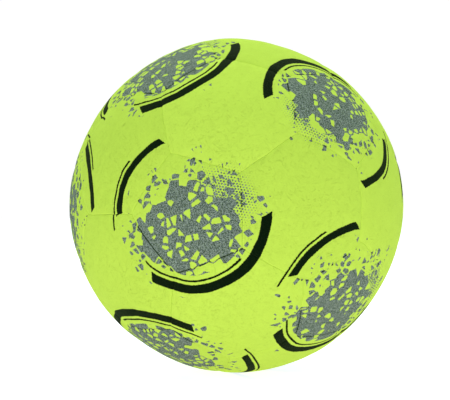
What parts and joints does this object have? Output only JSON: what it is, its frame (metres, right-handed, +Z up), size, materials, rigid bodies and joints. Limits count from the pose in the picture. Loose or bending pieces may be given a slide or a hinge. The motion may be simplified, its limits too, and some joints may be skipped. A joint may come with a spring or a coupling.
{
  "type": "indoor soccer ball",
  "caption": "Felt-covered indoor soccer ball: stitched pentagon and hexagon panels round an air bladder with a needle valve.",
  "frame": {"origin": "middle of the ball", "axes": "+Y out through the valve, +Z up as the ball lies in the picture, -Y towards the hexagon that faces the camera"},
  "size_m": [0.2188, 0.2193, 0.2186],
  "materials": {
    "felt_cover": "matt needled felt, yellow-green",
    "polyester_thread": "waxed polyester",
    "butyl_rubber": "satin butyl",
    "valve_rubber": "satin moulded rubber",
    "core_rubber": "silky moulded rubber",
    "canvas": "plain woven canvas"
  },
  "bodies": {
    "root": {"pentagon_panel_01": "felt_cover", "pentagon_panel_02": "felt_cover", "pentagon_panel_03": "felt_cover", "pentagon_panel_04": "felt_cover", "pentagon_panel_05": "felt_cover", "pentagon_panel_06": "felt_cover", "pentagon_panel_07": "felt_cover", "pentagon_panel_08": "felt_cover", "pentagon_panel_09": "felt_cover", "pentagon_panel_10": "felt_cover", "pentagon_panel_11": "felt_cover", "pentagon_panel_12": "felt_cover", "hexagon_panel_01": "felt_cover", "hexagon_panel_02": "felt_cover", "hexagon_panel_03": "felt_cover", "hexagon_panel_04": "felt_cover", "hexagon_panel_05": "felt_cover", "hexagon_panel_06": "felt_cover", "hexagon_panel_07": "felt_cover", "hexagon_panel_08": "felt_cover", "hexagon_panel_09": "felt_cover", "hexagon_panel_10": "felt_cover", "hexagon_panel_11": "felt_cover", "hexagon_panel_12": "felt_cover", "hexagon_panel_13": "felt_cover", "hexagon_panel_14": "felt_cover", "hexagon_panel_15": "felt_cover", "hexagon_panel_16": "felt_cover", "hexagon_panel_17": "felt_cover", "hexagon_panel_18": "felt_cover", "hexagon_panel_19": "felt_cover", "valve_panel": "felt_cover", "seam_thread": "polyester_thread", "bladder": "butyl_rubber", "valve_housing": "valve_rubber", "valve_core": "core_rubber", "valve_patch": "canvas"}
  },
  "joints": []
}
